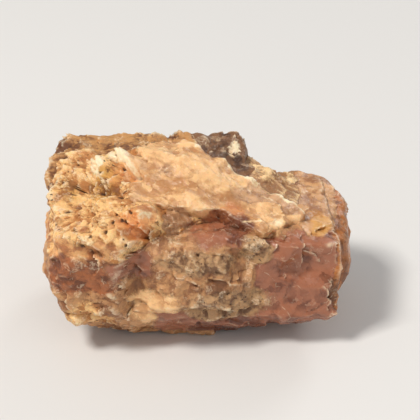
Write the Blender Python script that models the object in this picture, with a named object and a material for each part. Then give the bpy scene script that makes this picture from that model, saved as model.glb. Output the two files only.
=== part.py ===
"""A rough moonstone: one broken lump of adularia feldspar, in metres, with +Z up.

The lump is a union of convex blocks. Each block is bounded by flat faces, as feldspar cleaves, and
all blocks share one heart point. A finely divided cuboid is pushed out along the lines from the heart
until it meets the outermost block, and is then roughened with shards, lumps and pits. The stone rests
on a flat spot under it, at z = 0, and the origin is below the middle of its box.
"""

import bpy
import bmesh
import numpy as np

MM = 0.001

# Driving dimensions of the whole stone, in millimetres
LENGTH = 36.4
DEPTH = 22.6
HEIGHT = 20.4
HEART = np.array([0.0, 0.0, 9.0])  # every block holds this point
CUTS = 95  # divisions along each edge of the starting cuboid
TRIANGLES = 9000  # what the thinned solid keeps
EDGE_SHARPNESS = 36.0  # a higher power leaves sharper edges between two faces
BASE_SNAP = 0.06  # points this near the base are put on it

# Each face is a point on it and the direction that it looks, in millimetres: +X right, -Y front, +Z up.
# The hull bounds the whole stone, and tapers it to the flat spot that it rests on.
HULL = {
    "left": ((-18.0, 0, 9), (-1, -0.02, 0.03)),
    "left_low": ((-15.6, 0, 3.6), (-0.8, -0.1, -0.6)),
    "right": ((18.4, 0, 9), (1, -0.08, 0.04)),
    "right_low": ((15.4, 0, 3.6), (0.76, 0.08, -0.64)),
    "right_top": ((17.3, 3, 13.6), (0.72, 0.3, 0.62)),
    "front": ((0, -11.2, 10), (0.03, -1, 0.02)),
    "front_low": ((0, -9.2, 4.5), (0.04, -0.8, -0.6)),
    "back": ((0, 10.9, 9), (0.03, 1, 0.1)),
    "back_low": ((0, 9.2, 4), (0, 0.8, -0.6)),
    "back_left": ((-16.4, 8.6, 10), (-0.7, 0.7, 0.05)),
    "back_right": ((13.5, 8.8, 9), (0.6, 0.8, 0.05)),
    "base": ((0, 0, -0.6), (0.01, 0.02, -1)),
    "base_left": ((-7.5, 0, 0), (-0.2, 0.05, -0.98)),
    "base_right": ((6.5, 0, 0), (0.16, -0.05, -0.98)),
    "base_front": ((0, -4.6, 0), (0.04, -0.3, -0.95)),
    "base_back": ((0, 4.8, 0), (-0.04, 0.26, -0.96)),
}

# A block stands out of the others only where one of its own faces is the outermost.
BLOCKS = {
    "core": {
        "top": ((0, 0, 14.6), (0.04, -0.06, 1)),
        "front": ((2, -8.6, 10), (0.05, -1, 0.14)),
        "left": ((-15.6, 0, 8), (-1, 0.1, -0.04)),
        "right": ((15.6, 0, 8), (1, 0.12, -0.05)),
        "back": ((0, 7.5, 9), (0.06, 1, 0.12)),
        "under": ((0, 0, -0.5), (0.02, 0.03, -1)),
    },
    "left_step": {
        "left": ((-18.0, -4, 5), (-1, -0.12, -0.06)),
        "top": ((-17.2, -4, 8.2), (-0.5, 0.12, 0.86)),
        "back": ((-16, 1.6, 5), (-0.3, 0.95, 0.05)),
        "front": ((-16, -9.2, 5), (0.05, -1, 0)),
        "left_front": ((-17.2, -8.0, 5), (-0.8, -0.6, -0.05)),
        "cap": ((0, 0, 13), (0, 0, 1)),
        "right_side": ((2, 0, 9), (1, 0, 0)),
        "under": ((-14, -4, 2), (-0.3, 0, -0.95)),
    },
    "back_foot": {
        "back": ((-11, 9.9, 4), (-0.16, 1, 0.04)),
        "top": ((-11, 9.2, 6.4), (-0.1, 0.66, 0.75)),
        "left": ((-15, 8.4, 4), (-0.7, 0.7, 0.1)),
        "right": ((-6.4, 9.4, 4), (0.5, 0.86, 0.1)),
        "front": ((-6, -3, 9), (0, -1, 0)),
        "right_side": ((3, 0, 9), (1, 0, 0)),
        "cap": ((0, 0, 12), (0, 0, 1)),
        "under": ((-11, 9.2, 1.8), (0, 0.5, -0.86)),
    },
    "back_bulge": {
        "back": ((-6, 10.7, 9), (-0.1, 1, 0.1)),
        "top": ((-6, 9.2, 14.2), (0.12, 0.6, 0.8)),
        "left": ((-12, 9.8, 9), (-0.4, 0.9, 0)),
        "right": ((-0.8, 9.4, 9), (0.62, 0.77, -0.12)),
        "left_side": ((-15, 0, 9), (-1, 0, 0.1)),
        "right_side": ((5, 0, 9), (1, 0, 0)),
        "front": ((-6, -3, 9), (0, -1, 0)),
        "cap": ((-6, 0, 13.5), (0, 0, 1)),
        "under": ((-6, 9.4, 4), (0.1, 0.6, -0.8)),
        "floor": ((-6, 0, 3), (0, 0, -1)),
    },
    "back_step": {
        "back": ((8, 10.6, 6), (0.16, 1, 0.08)),
        "top": ((8, 9.4, 9.6), (-0.12, 0.56, 0.83)),
        "left": ((3, 9.6, 6), (-0.4, 0.9, 0.1)),
        "left_side": ((-4, 0, 9), (-1, 0, 0)),
        "right_side": ((16, 0, 9), (1, 0.1, 0)),
        "front": ((8, -3, 9), (0, -1, 0)),
        "cap": ((8, 0, 11), (0, 0, 1)),
        "under": ((8, 9.4, 2), (0, 0.4, -0.9)),
    },
    "end_front": {
        "end": ((18.3, -3, 9), (1, -0.12, 0.03)),
        "back": ((16.6, 3.4, 9), (0.75, 0.66, 0.1)),
        "top": ((16, -3, 13), (0.5, -0.2, 0.84)),
        "front": ((15.4, -6, 10), (0.55, -0.83, 0.08)),
        "left": ((-4, 0, 9), (-1, 0, 0)),
        "back_side": ((0, 6, 9), (0, 1, 0)),
        "front_side": ((0, -7, 9), (0, -1, 0)),
        "cap": ((0, 0, 13.5), (0, 0, 1)),
        "under": ((15, 0, 3.4), (0.7, 0, -0.7)),
        "floor": ((0, 0, 3), (0, 0, -1)),
    },
    "left_block": {
        "top_back": ((-10, 5, 19.2), (-0.05, 0.06, 1)),
        "top_front": ((-12, -4, 17.5), (-0.06, -0.3, 1)),
        "front": ((-12, -10.9, 11), (-0.12, -1, 0.06)),
        "front_edge": ((-12, -10.6, 14.6), (-0.1, -0.8, 0.6)),
        "left": ((-17.9, 0, 12), (-1, -0.06, 0.07)),
        "left_back": ((-17.1, 3.0, 12), (-0.86, 0.5, 0.06)),
        "left_under": ((-17.6, 0, 9.4), (-0.72, 0.16, -0.68)),
        "left_front": ((-17.2, -8.6, 12), (-0.8, -0.6, 0.05)),
        "back": ((-10, 9.0, 14), (-0.12, 1, 0.08)),
        "right_back": ((-1.0, 6, 10), (0.85, 0.5, 0.05)),
        "right_front": ((-6.2, -9.0, 13), (0.56, -0.83, -0.02)),
        "right_slope": ((-8, 1, 19.2), (0.4, -0.1, 0.92)),
        "under": ((-11, -6, 3), (-0.1, -0.5, -0.86)),
    },
    "back_rim": {
        "top": ((-8, 8, 18.3), (0.15, 0.15, 1)),
        "front": ((-9, 4.6, 18.8), (0.02, -0.3, 0.95)),
        "right": ((-1.0, 8, 17.5), (0.82, 0.36, 0.44)),
        "left": ((-17.5, 8, 18), (-0.95, 0.1, 0.25)),
        "back": ((-8, 8.8, 17), (-0.05, 1, 0.4)),
        "front_low": ((-8, -3, 9), (0, -1, 0)),
        "left_low": ((-17.2, 6, 15.5), (-0.5, 0, -0.87)),
        "back_low": ((-8, 9.3, 15.0), (0, 0.7, -0.71)),
    },
    "slab": {
        "top": ((-0.7, 5, 19.4), (0.142, -0.261, 0.955)),
        "top_back": ((-5, 4, 19.0), (0.03, 0.1, 1)),
        "crest_back": ((-0.2, 5.2, 19.2), (0.563, 0.812, 0.138)),
        "back": ((-5, 7.4, 17), (-0.1, 1, 0.4)),
        "back_low": ((-5, 7.6, 15), (0, 0.8, -0.6)),
        "front": ((-1.5, -4.8, 16.8), (0.0, -0.98, -0.18)),
        "right": ((9.4, -5.7, 15.0), (0.56, -0.83, -0.1)),
        "tip": ((13.6, -3.5, 14.6), (1, 0.1, 0.1)),
        "left": ((-9, 0, 15), (-1, -0.1, 0.1)),
        "under": ((0, 0, 4), (0, 0, -1)),
    },
    "slab_lobe": {
        "top": ((-0.7, 5, 19.4), (0.142, -0.261, 0.955)),
        "crest_back": ((-0.2, 5.2, 19.2), (0.563, 0.812, 0.138)),
        "left_front": ((5.2, -6.1, 15.7), (-0.46, -0.87, -0.12)),
        "right": ((9.4, -5.7, 15.0), (0.56, -0.83, -0.1)),
        "tip": ((13.4, -3.5, 14.6), (1, 0.1, 0.1)),
        "top_left": ((-1, 0, 17.8), (-0.1, -0.1, 0.98)),
        "left": ((-4, 0, 12), (-1, 0, 0)),
        "under": ((0, 0, 6), (0, 0, -1)),
    },
    "ledge": {
        "top": ((8, 4, 15.7), (0.14, 0.06, 1)),
        "top_right": ((13, 3, 14.3), (0.26, -0.06, 0.95)),
        "end_edge": ((16.3, -2.5, 12.9), (0.8, -0.36, 0.48)),
        "end": ((18.4, 0, 9), (1, -0.1, 0.05)),
        "end_low": ((18.0, 2, 10.8), (0.7, 0.2, -0.68)),
        "front_corner": ((15.4, -6, 10), (0.55, -0.83, 0.08)),
        "front": ((12, -7.2, 11), (0.02, -1, 0.1)),
        "left_front": ((8.6, -6, 14.2), (-0.55, -0.7, 0.45)),
        "back": ((9, 8.6, 11), (0.16, 1, 0.2)),
        "left": ((-4, 0, 14), (-1, 0.1, 0.1)),
        "under": ((9, 0, 2), (0.15, 0, -1)),
    },
    "peak": {
        "top": ((4, 8.6, 18.4), (-0.24, 0.15, 1)),
        "front": ((3, 8.2, 18.0), (0.02, -0.5, 0.86)),
        "front_low": ((3, -3, 9), (0, -1, 0)),
        "right": ((5.8, 8, 17), (1, 0.1, 0.08)),
        "left": ((-1.4, 8, 18), (-1, -0.05, 0.1)),
        "back": ((3, 9.8, 15.5), (0.1, 1, -0.3)),
        "under": ((3, 4, 2), (0, 0, -1)),
    },
    "front_bulge": {
        "top": ((0.5, -9.0, 13.6), (0.1, -0.62, 0.78)),
        "top_back": ((-2, -8, 14.9), (0.1, 0.05, 1)),
        "front": ((0.5, -10.3, 10), (0.06, -1, 0.1)),
        "right": ((6.5, -8.4, 11), (0.5, -0.86, 0.08)),
        "left": ((-6.5, -9.6, 11), (-0.3, -0.95, 0.1)),
        "back": ((0, 2, 9), (0, 1, 0.1)),
        "right_side": ((10, 0, 9), (1, 0, 0)),
        "left_side": ((-12, 0, 9), (-1, 0, 0)),
        "under": ((0, -8, 4.5), (0, -0.6, -0.8)),
    },
}

# A lump is a point on the stone, how far it reaches round the line from the heart to that point, and
# how high it stands
LUMPS = {
    "orange_knob": ((-7.1, -7.8, 16.8), 1.9, 0.7),
    "round_knob": ((-6.0, -6.4, 17.4), 0.9, 0.6),
    "left_tip": ((-11.7, 1.1, 19.3), 0.9, 0.7),
    "crest_tip": ((-8.8, 2.2, 19.8), 1.1, 0.8),
    "low_left": ((-13.8, -8.8, 16.0), 2.5, 0.6),
    "low_middle": ((-10.4, -9.6, 15.8), 1.7, 0.5),
    "bulge_top": ((0.3, -8.8, 13.3), 2.2, 0.5),
    "ledge_flake": ((9.1, 3.8, 15.4), 1.6, 0.4),
}

# A pit is the same with how deep it goes
PITS = {
    "orange_pit": ((-7.3, -9.2, 16.1), 0.7, 1.0),
    "fork_pit": ((-8.1, -0.5, 18.7), 0.8, 0.8),
    "fold_pit": ((-10.8, -2.8, 18.2), 1.0, 0.6),
    "left_pit": ((-14.2, -3.0, 17.7), 0.9, 0.7),
    "edge_pit": ((-15.4, -4.4, 17.2), 0.7, 0.6),
    "low_pit": ((-12.6, -10.8, 14.7), 0.8, 0.7),
    "middle_hollow": ((5.4, -8.8, 11.5), 1.7, 0.9),
    "right_hollow": ((13.5, -7.8, 10.8), 1.8, 0.9),
}


def lattice_random(cell, seed):
    """A number from 0 to 1 for each whole-number lattice point, the same every run."""
    mixed = cell[..., 0] * 374761393 + cell[..., 1] * 668265263
    mixed = mixed + cell[..., 2] * 1442695041 + seed * 1274126177
    mixed = ((mixed ^ (mixed >> 13)) * 1103515245) & 0x7FFFFFFF
    mixed = ((mixed ^ (mixed >> 15)) * 12820163) & 0x7FFFFFFF
    return ((mixed ^ (mixed >> 14)) & 0xFFFFF) / float(0xFFFFF)


def smooth_noise(points, size, seed):
    """Smooth noise from -1 to 1 whose swells are about one size across."""
    scaled = points / size
    low = np.floor(scaled).astype(np.int64)
    part = scaled - low
    part = part * part * part * (part * (part * 6 - 15) + 10)
    total = np.zeros(len(points))
    for corner in np.ndindex(2, 2, 2):
        share = np.prod(np.where(corner, part, 1 - part), axis=1)
        total += share * lattice_random(low + corner, seed)
    return total * 2 - 1


def layered_noise(points, size, seed, layers):
    """Several smooth noises, each finer and fainter than the last."""
    total = np.zeros(len(points))
    for layer in range(layers):
        total += smooth_noise(points, size / 2**layer, seed + layer) / 2**layer
    return total


def shards(points, size, seed, tilt):
    """A mosaic of small flat facets, each at its own height and tilt, from about -1 to 1."""
    scaled = points / size
    low = np.floor(scaled).astype(np.int64)
    total = np.zeros(len(points))
    weight = np.zeros(len(points))
    for step in np.ndindex(3, 3, 3):
        cell = low + np.array(step) - 1
        spot = cell + np.stack([lattice_random(cell, seed + i) for i in range(3)], axis=1)
        away = scaled - spot
        lean = np.stack([lattice_random(cell, seed + 3 + i) - 0.5 for i in range(3)], axis=1)
        height = lattice_random(cell, seed + 6) - 0.5 + tilt * (lean * away).sum(axis=1)
        share = np.exp(-22 * np.linalg.norm(away, axis=1))
        total += share * height
        weight += share
    return 2 * total / weight


def unit(direction):
    vector = np.array(direction, float)
    return vector / np.linalg.norm(vector)


def block_reach(points, faces, proud):
    """How many times each point, seen from the heart, is as far out as the block's surface."""
    total = np.zeros(len(points))
    for place, direction in faces.values():
        normal = unit(direction)
        distance = normal @ (np.array(place, float) - HEART) + proud
        total += np.maximum(points @ normal / distance, 0) ** EDGE_SHARPNESS
    return total ** (1 / EDGE_SHARPNESS)


def stone_reach(points, proud):
    """The same for the whole stone: the outermost block counts, and the hull bounds them all."""
    union = np.min([block_reach(points, faces, proud) for faces in BLOCKS.values()], axis=0)
    return np.maximum(union, block_reach(points, HULL, proud))


def bent(points):
    """The points moved about by noise, which makes straight edges wander."""
    broad = np.stack([layered_noise(points, 9.0, 11 + i, 2) for i in range(3)], axis=1)
    close = np.stack([layered_noise(points, 2.6, 31 + i, 2) for i in range(3)], axis=1)
    return points + 0.4 * broad + 0.2 * close


def shard_relief(points):
    """Facets in three sizes, in millimetres, which break up the blocks' flat faces."""
    stretched = points * np.array([0.8, 1.0, 1.25])
    large = 0.34 * shards(stretched, 5.2, 101, 0.8)
    middle = 0.17 * shards(stretched, 2.4, 131, 0.9)
    small = 0.07 * shards(stretched, 1.1, 161, 1.0)
    return large + middle + small


def spot_relief(points):
    """Lumps stand proud and pits go in, each round its own line from the heart."""
    total = np.zeros(len(points))
    for sign, spots in ((1, LUMPS), (-1, PITS)):
        for place, reach, height in spots.values():
            line = unit(np.array(place) - HEART)
            along = np.maximum(points @ line, 0)
            away = np.linalg.norm(points - along[:, None] * line, axis=1) / reach
            total += sign * height * np.exp(-(away**4))
    return total


def stone_points(directions):
    """Where the stone's surface lies along each direction from the heart, in millimetres."""
    start = directions / stone_reach(directions, 0.0)[:, None]
    for _ in range(2):
        proud = shard_relief(start) + spot_relief(start)
        start = start / stone_reach(bent(start), proud)[:, None]
    return start + HEART


def fitted(points):
    """The points stretched a little to the driving dimensions, centred, and cut flat at the base."""
    low = points.min(axis=0)
    high = points.max(axis=0)
    middle = (low + high) / 2
    points[:, 0] = (points[:, 0] - middle[0]) * LENGTH / (high[0] - low[0])
    points[:, 1] = (points[:, 1] - middle[1]) * DEPTH / (high[1] - low[1])
    points[:, 2] = np.maximum(points[:, 2], 0) * HEIGHT / high[2]
    return points


def divided_cuboid(cuts):
    """A cuboid of the stone's proportions with every face divided into a grid."""
    shape = bmesh.new()
    bmesh.ops.create_cube(shape, size=1.0)
    bmesh.ops.subdivide_edges(shape, edges=shape.edges[:], cuts=cuts, use_grid_fill=True)
    bmesh.ops.scale(shape, vec=(LENGTH, DEPTH, HEIGHT), verts=shape.verts[:])
    mesh = bpy.data.meshes.new("moonstone")
    shape.to_mesh(mesh)
    shape.free()
    return mesh


def read_points(mesh):
    flat = np.empty(len(mesh.vertices) * 3)
    mesh.vertices.foreach_get("co", flat)
    return flat.reshape(-1, 3)


def write_points(mesh, points):
    mesh.vertices.foreach_set("co", points.astype(np.float32).ravel())
    mesh.update()


def stone_material():
    material = bpy.data.materials.new("moonstone_rock")
    material.use_nodes = True
    finish = material.node_tree.nodes["Principled BSDF"]
    finish.inputs["Base Color"].default_value = (0.62, 0.38, 0.2, 1)
    finish.inputs["Roughness"].default_value = 0.5
    finish.inputs["Metallic"].default_value = 0.0
    return material


def thinned(stone, triangles):
    """The stone with flat stretches in few triangles, and its size and flat base put back."""
    decimate = stone.modifiers.new("thin", "DECIMATE")
    decimate.ratio = triangles / (2 * len(stone.data.polygons))
    decimate.use_collapse_triangulate = True
    graph = bpy.context.evaluated_depsgraph_get()
    mesh = bpy.data.meshes.new_from_object(stone.evaluated_get(graph))
    stone.modifiers.clear()
    stone.data = mesh
    points = fitted(read_points(mesh) / MM)
    points[points[:, 2] < BASE_SNAP, 2] = 0
    write_points(mesh, points * MM)


def make_stone(collection):
    mesh = divided_cuboid(CUTS)
    points = read_points(mesh)
    directions = points / np.linalg.norm(points, axis=1)[:, None]
    write_points(mesh, fitted(stone_points(directions)) * MM)
    mesh.materials.append(stone_material())
    stone = bpy.data.objects.new("moonstone", mesh)
    collection.objects.link(stone)
    thinned(stone, TRIANGLES)
    return stone


def clear_scene():
    for old in list(bpy.data.objects):
        bpy.data.objects.remove(old)


def main():
    clear_scene()
    collection = bpy.data.collections.new("rough_moonstone")
    bpy.context.scene.collection.children.link(collection)
    make_stone(collection)


main()
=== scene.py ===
# A rough moonstone: one broken lump of cream, peach and smoky feldspar on a pale floor.
# The stone is worked out in millimetres and turned into metres when its mesh is made.
import bpy
import math
import numpy as np
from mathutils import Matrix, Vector


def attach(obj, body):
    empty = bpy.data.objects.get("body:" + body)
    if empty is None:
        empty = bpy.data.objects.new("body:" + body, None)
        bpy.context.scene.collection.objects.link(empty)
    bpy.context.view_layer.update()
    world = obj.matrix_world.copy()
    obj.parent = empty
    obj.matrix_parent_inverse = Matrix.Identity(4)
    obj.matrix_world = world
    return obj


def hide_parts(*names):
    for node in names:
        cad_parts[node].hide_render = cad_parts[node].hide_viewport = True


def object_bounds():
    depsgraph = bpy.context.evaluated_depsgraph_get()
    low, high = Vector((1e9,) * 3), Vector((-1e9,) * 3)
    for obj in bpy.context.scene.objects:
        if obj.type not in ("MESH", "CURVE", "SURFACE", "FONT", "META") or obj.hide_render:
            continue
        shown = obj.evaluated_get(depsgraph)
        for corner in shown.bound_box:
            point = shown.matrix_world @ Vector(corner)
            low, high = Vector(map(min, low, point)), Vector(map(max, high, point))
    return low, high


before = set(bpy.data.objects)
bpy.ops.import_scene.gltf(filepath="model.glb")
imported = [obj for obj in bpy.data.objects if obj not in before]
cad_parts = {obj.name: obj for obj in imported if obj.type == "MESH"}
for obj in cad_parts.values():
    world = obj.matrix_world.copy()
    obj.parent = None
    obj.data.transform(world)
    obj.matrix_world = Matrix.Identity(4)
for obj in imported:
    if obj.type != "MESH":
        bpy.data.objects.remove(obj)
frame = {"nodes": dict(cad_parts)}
cadLow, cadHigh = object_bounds()
print("frame loaded:", ", ".join(frame["nodes"]))

mm = 0.001


def addObject(name, data):
    # every piece, light and camera joins the scene's own collection
    made = bpy.data.objects.new(name, data)
    bpy.context.scene.collection.objects.link(made)
    return made


# The same flat-faced blocks as the solid has: a point on each face, and the way that the face looks
hullFaces = {
    "left": ((-18.0, 0, 9), (-1, -0.02, 0.03)),
    "leftLow": ((-15.6, 0, 3.6), (-0.8, -0.1, -0.6)),
    "right": ((18.4, 0, 9), (1, -0.08, 0.04)),
    "rightLow": ((15.4, 0, 3.6), (0.76, 0.08, -0.64)),
    "rightTop": ((17.3, 3, 13.6), (0.72, 0.3, 0.62)),
    "front": ((0, -11.2, 10), (0.03, -1, 0.02)),
    "frontLow": ((0, -9.2, 4.5), (0.04, -0.8, -0.6)),
    "back": ((0, 10.9, 9), (0.03, 1, 0.1)),
    "backLow": ((0, 9.2, 4), (0, 0.8, -0.6)),
    "backLeft": ((-16.4, 8.6, 10), (-0.7, 0.7, 0.05)),
    "backRight": ((13.5, 8.8, 9), (0.6, 0.8, 0.05)),
    "base": ((0, 0, -0.6), (0.01, 0.02, -1)),
    "baseLeft": ((-7.5, 0, 0), (-0.2, 0.05, -0.98)),
    "baseRight": ((6.5, 0, 0), (0.16, -0.05, -0.98)),
    "baseFront": ((0, -4.6, 0), (0.04, -0.3, -0.95)),
    "baseBack": ((0, 4.8, 0), (-0.04, 0.26, -0.96)),
}
blockFaces = {
    "core": {
        "top": ((0, 0, 14.6), (0.04, -0.06, 1)),
        "front": ((2, -8.6, 10), (0.05, -1, 0.14)),
        "left": ((-15.6, 0, 8), (-1, 0.1, -0.04)),
        "right": ((15.6, 0, 8), (1, 0.12, -0.05)),
        "back": ((0, 7.5, 9), (0.06, 1, 0.12)),
        "under": ((0, 0, -0.5), (0.02, 0.03, -1)),
    },
    "leftStep": {
        "left": ((-18.0, -4, 5), (-1, -0.12, -0.06)),
        "top": ((-17.2, -4, 8.2), (-0.5, 0.12, 0.86)),
        "back": ((-16, 1.6, 5), (-0.3, 0.95, 0.05)),
        "front": ((-16, -9.2, 5), (0.05, -1, 0)),
        "leftFront": ((-17.2, -8.0, 5), (-0.8, -0.6, -0.05)),
        "cap": ((0, 0, 13), (0, 0, 1)),
        "rightSide": ((2, 0, 9), (1, 0, 0)),
        "under": ((-14, -4, 2), (-0.3, 0, -0.95)),
    },
    "backFoot": {
        "back": ((-11, 9.9, 4), (-0.16, 1, 0.04)),
        "top": ((-11, 9.2, 6.4), (-0.1, 0.66, 0.75)),
        "left": ((-15, 8.4, 4), (-0.7, 0.7, 0.1)),
        "right": ((-6.4, 9.4, 4), (0.5, 0.86, 0.1)),
        "front": ((-6, -3, 9), (0, -1, 0)),
        "rightSide": ((3, 0, 9), (1, 0, 0)),
        "cap": ((0, 0, 12), (0, 0, 1)),
        "under": ((-11, 9.2, 1.8), (0, 0.5, -0.86)),
    },
    "backBulge": {
        "back": ((-6, 10.7, 9), (-0.1, 1, 0.1)),
        "top": ((-6, 9.2, 14.2), (0.12, 0.6, 0.8)),
        "left": ((-12, 9.8, 9), (-0.4, 0.9, 0)),
        "right": ((-0.8, 9.4, 9), (0.62, 0.77, -0.12)),
        "leftSide": ((-15, 0, 9), (-1, 0, 0.1)),
        "rightSide": ((5, 0, 9), (1, 0, 0)),
        "front": ((-6, -3, 9), (0, -1, 0)),
        "cap": ((-6, 0, 13.5), (0, 0, 1)),
        "under": ((-6, 9.4, 4), (0.1, 0.6, -0.8)),
        "floor": ((-6, 0, 3), (0, 0, -1)),
    },
    "backStep": {
        "back": ((8, 10.6, 6), (0.16, 1, 0.08)),
        "top": ((8, 9.4, 9.6), (-0.12, 0.56, 0.83)),
        "left": ((3, 9.6, 6), (-0.4, 0.9, 0.1)),
        "leftSide": ((-4, 0, 9), (-1, 0, 0)),
        "rightSide": ((16, 0, 9), (1, 0.1, 0)),
        "front": ((8, -3, 9), (0, -1, 0)),
        "cap": ((8, 0, 11), (0, 0, 1)),
        "under": ((8, 9.4, 2), (0, 0.4, -0.9)),
    },
    "endFront": {
        "end": ((18.3, -3, 9), (1, -0.12, 0.03)),
        "back": ((16.6, 3.4, 9), (0.75, 0.66, 0.1)),
        "top": ((16, -3, 13), (0.5, -0.2, 0.84)),
        "front": ((15.4, -6, 10), (0.55, -0.83, 0.08)),
        "left": ((-4, 0, 9), (-1, 0, 0)),
        "backSide": ((0, 6, 9), (0, 1, 0)),
        "frontSide": ((0, -7, 9), (0, -1, 0)),
        "cap": ((0, 0, 13.5), (0, 0, 1)),
        "under": ((15, 0, 3.4), (0.7, 0, -0.7)),
        "floor": ((0, 0, 3), (0, 0, -1)),
    },
    "leftBlock": {
        "topBack": ((-10, 5, 19.2), (-0.05, 0.06, 1)),
        "topFront": ((-12, -4, 17.5), (-0.06, -0.3, 1)),
        "front": ((-12, -10.9, 11), (-0.12, -1, 0.06)),
        "frontEdge": ((-12, -10.6, 14.6), (-0.1, -0.8, 0.6)),
        "left": ((-17.9, 0, 12), (-1, -0.06, 0.07)),
        "leftBack": ((-17.1, 3.0, 12), (-0.86, 0.5, 0.06)),
        "leftUnder": ((-17.6, 0, 9.4), (-0.72, 0.16, -0.68)),
        "leftFront": ((-17.2, -8.6, 12), (-0.8, -0.6, 0.05)),
        "back": ((-10, 9.0, 14), (-0.12, 1, 0.08)),
        "rightBack": ((-1.0, 6, 10), (0.85, 0.5, 0.05)),
        "rightFront": ((-6.2, -9.0, 13), (0.56, -0.83, -0.02)),
        "rightSlope": ((-8, 1, 19.2), (0.4, -0.1, 0.92)),
        "under": ((-11, -6, 3), (-0.1, -0.5, -0.86)),
    },
    "backRim": {
        "top": ((-8, 8, 18.3), (0.15, 0.15, 1)),
        "front": ((-9, 4.6, 18.8), (0.02, -0.3, 0.95)),
        "right": ((-1.0, 8, 17.5), (0.82, 0.36, 0.44)),
        "left": ((-17.5, 8, 18), (-0.95, 0.1, 0.25)),
        "back": ((-8, 8.8, 17), (-0.05, 1, 0.4)),
        "frontLow": ((-8, -3, 9), (0, -1, 0)),
        "leftLow": ((-17.2, 6, 15.5), (-0.5, 0, -0.87)),
        "backLow": ((-8, 9.3, 15.0), (0, 0.7, -0.71)),
    },
    "slab": {
        "top": ((-0.7, 5, 19.4), (0.142, -0.261, 0.955)),
        "topBack": ((-5, 4, 19.0), (0.03, 0.1, 1)),
        "crestBack": ((-0.2, 5.2, 19.2), (0.563, 0.812, 0.138)),
        "back": ((-5, 7.4, 17), (-0.1, 1, 0.4)),
        "backLow": ((-5, 7.6, 15), (0, 0.8, -0.6)),
        "front": ((-1.5, -4.8, 16.8), (0.0, -0.98, -0.18)),
        "right": ((9.4, -5.7, 15.0), (0.56, -0.83, -0.1)),
        "tip": ((13.6, -3.5, 14.6), (1, 0.1, 0.1)),
        "left": ((-9, 0, 15), (-1, -0.1, 0.1)),
        "under": ((0, 0, 4), (0, 0, -1)),
    },
    "slabLobe": {
        "top": ((-0.7, 5, 19.4), (0.142, -0.261, 0.955)),
        "crestBack": ((-0.2, 5.2, 19.2), (0.563, 0.812, 0.138)),
        "leftFront": ((5.2, -6.1, 15.7), (-0.46, -0.87, -0.12)),
        "right": ((9.4, -5.7, 15.0), (0.56, -0.83, -0.1)),
        "tip": ((13.4, -3.5, 14.6), (1, 0.1, 0.1)),
        "topLeft": ((-1, 0, 17.8), (-0.1, -0.1, 0.98)),
        "left": ((-4, 0, 12), (-1, 0, 0)),
        "under": ((0, 0, 6), (0, 0, -1)),
    },
    "ledge": {
        "top": ((8, 4, 15.7), (0.14, 0.06, 1)),
        "topRight": ((13, 3, 14.3), (0.26, -0.06, 0.95)),
        "endEdge": ((16.3, -2.5, 12.9), (0.8, -0.36, 0.48)),
        "end": ((18.4, 0, 9), (1, -0.1, 0.05)),
        "endLow": ((18.0, 2, 10.8), (0.7, 0.2, -0.68)),
        "frontCorner": ((15.4, -6, 10), (0.55, -0.83, 0.08)),
        "front": ((12, -7.2, 11), (0.02, -1, 0.1)),
        "leftFront": ((8.6, -6, 14.2), (-0.55, -0.7, 0.45)),
        "back": ((9, 8.6, 11), (0.16, 1, 0.2)),
        "left": ((-4, 0, 14), (-1, 0.1, 0.1)),
        "under": ((9, 0, 2), (0.15, 0, -1)),
    },
    "peak": {
        "top": ((4, 8.6, 18.4), (-0.24, 0.15, 1)),
        "front": ((3, 8.2, 18.0), (0.02, -0.5, 0.86)),
        "frontLow": ((3, -3, 9), (0, -1, 0)),
        "right": ((5.8, 8, 17), (1, 0.1, 0.08)),
        "left": ((-1.4, 8, 18), (-1, -0.05, 0.1)),
        "back": ((3, 9.8, 15.5), (0.1, 1, -0.3)),
        "under": ((3, 4, 2), (0, 0, -1)),
    },
    "frontBulge": {
        "top": ((0.5, -9.0, 13.6), (0.1, -0.62, 0.78)),
        "topBack": ((-2, -8, 14.9), (0.1, 0.05, 1)),
        "front": ((0.5, -10.3, 10), (0.06, -1, 0.1)),
        "right": ((6.5, -8.4, 11), (0.5, -0.86, 0.08)),
        "left": ((-6.5, -9.6, 11), (-0.3, -0.95, 0.1)),
        "back": ((0, 2, 9), (0, 1, 0.1)),
        "rightSide": ((10, 0, 9), (1, 0, 0)),
        "leftSide": ((-12, 0, 9), (-1, 0, 0)),
        "under": ((0, -8, 4.5), (0, -0.6, -0.8)),
    },
}
# Lumps and pits: the place, how far it reaches and how high or deep it is
lumps = {
    "orangeKnob": ((-7.1, -7.8, 16.8), 1.9, 0.7),
    "roundKnob": ((-6.0, -6.4, 17.4), 0.9, 0.6),
    "leftTip": ((-11.7, 1.1, 19.3), 0.9, 0.7),
    "crestTip": ((-8.8, 2.2, 19.8), 1.1, 0.8),
    "lowLeft": ((-13.8, -8.8, 16.0), 2.5, 0.6),
    "lowMiddle": ((-10.4, -9.6, 15.8), 1.7, 0.5),
    "bulgeTop": ((0.3, -8.8, 13.3), 2.2, 0.5),
    "ledgeFlake": ((9.1, 3.8, 15.4), 1.6, 0.4),
}
pits = {
    "orangePit": ((-7.3, -9.2, 16.1), 0.7, 1.0),
    "forkPit": ((-8.1, -0.5, 18.7), 0.8, 0.8),
    "foldPit": ((-10.8, -2.8, 18.2), 1.0, 0.6),
    "leftPit": ((-14.2, -3.0, 17.7), 0.9, 0.7),
    "edgePit": ((-15.4, -4.4, 17.2), 0.7, 0.6),
    "lowPit": ((-12.6, -10.8, 14.7), 0.8, 0.7),
    "middleHollow": ((5.4, -8.8, 11.5), 1.7, 0.9),
    "rightHollow": ((13.5, -7.8, 10.8), 1.8, 0.9),
}

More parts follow.
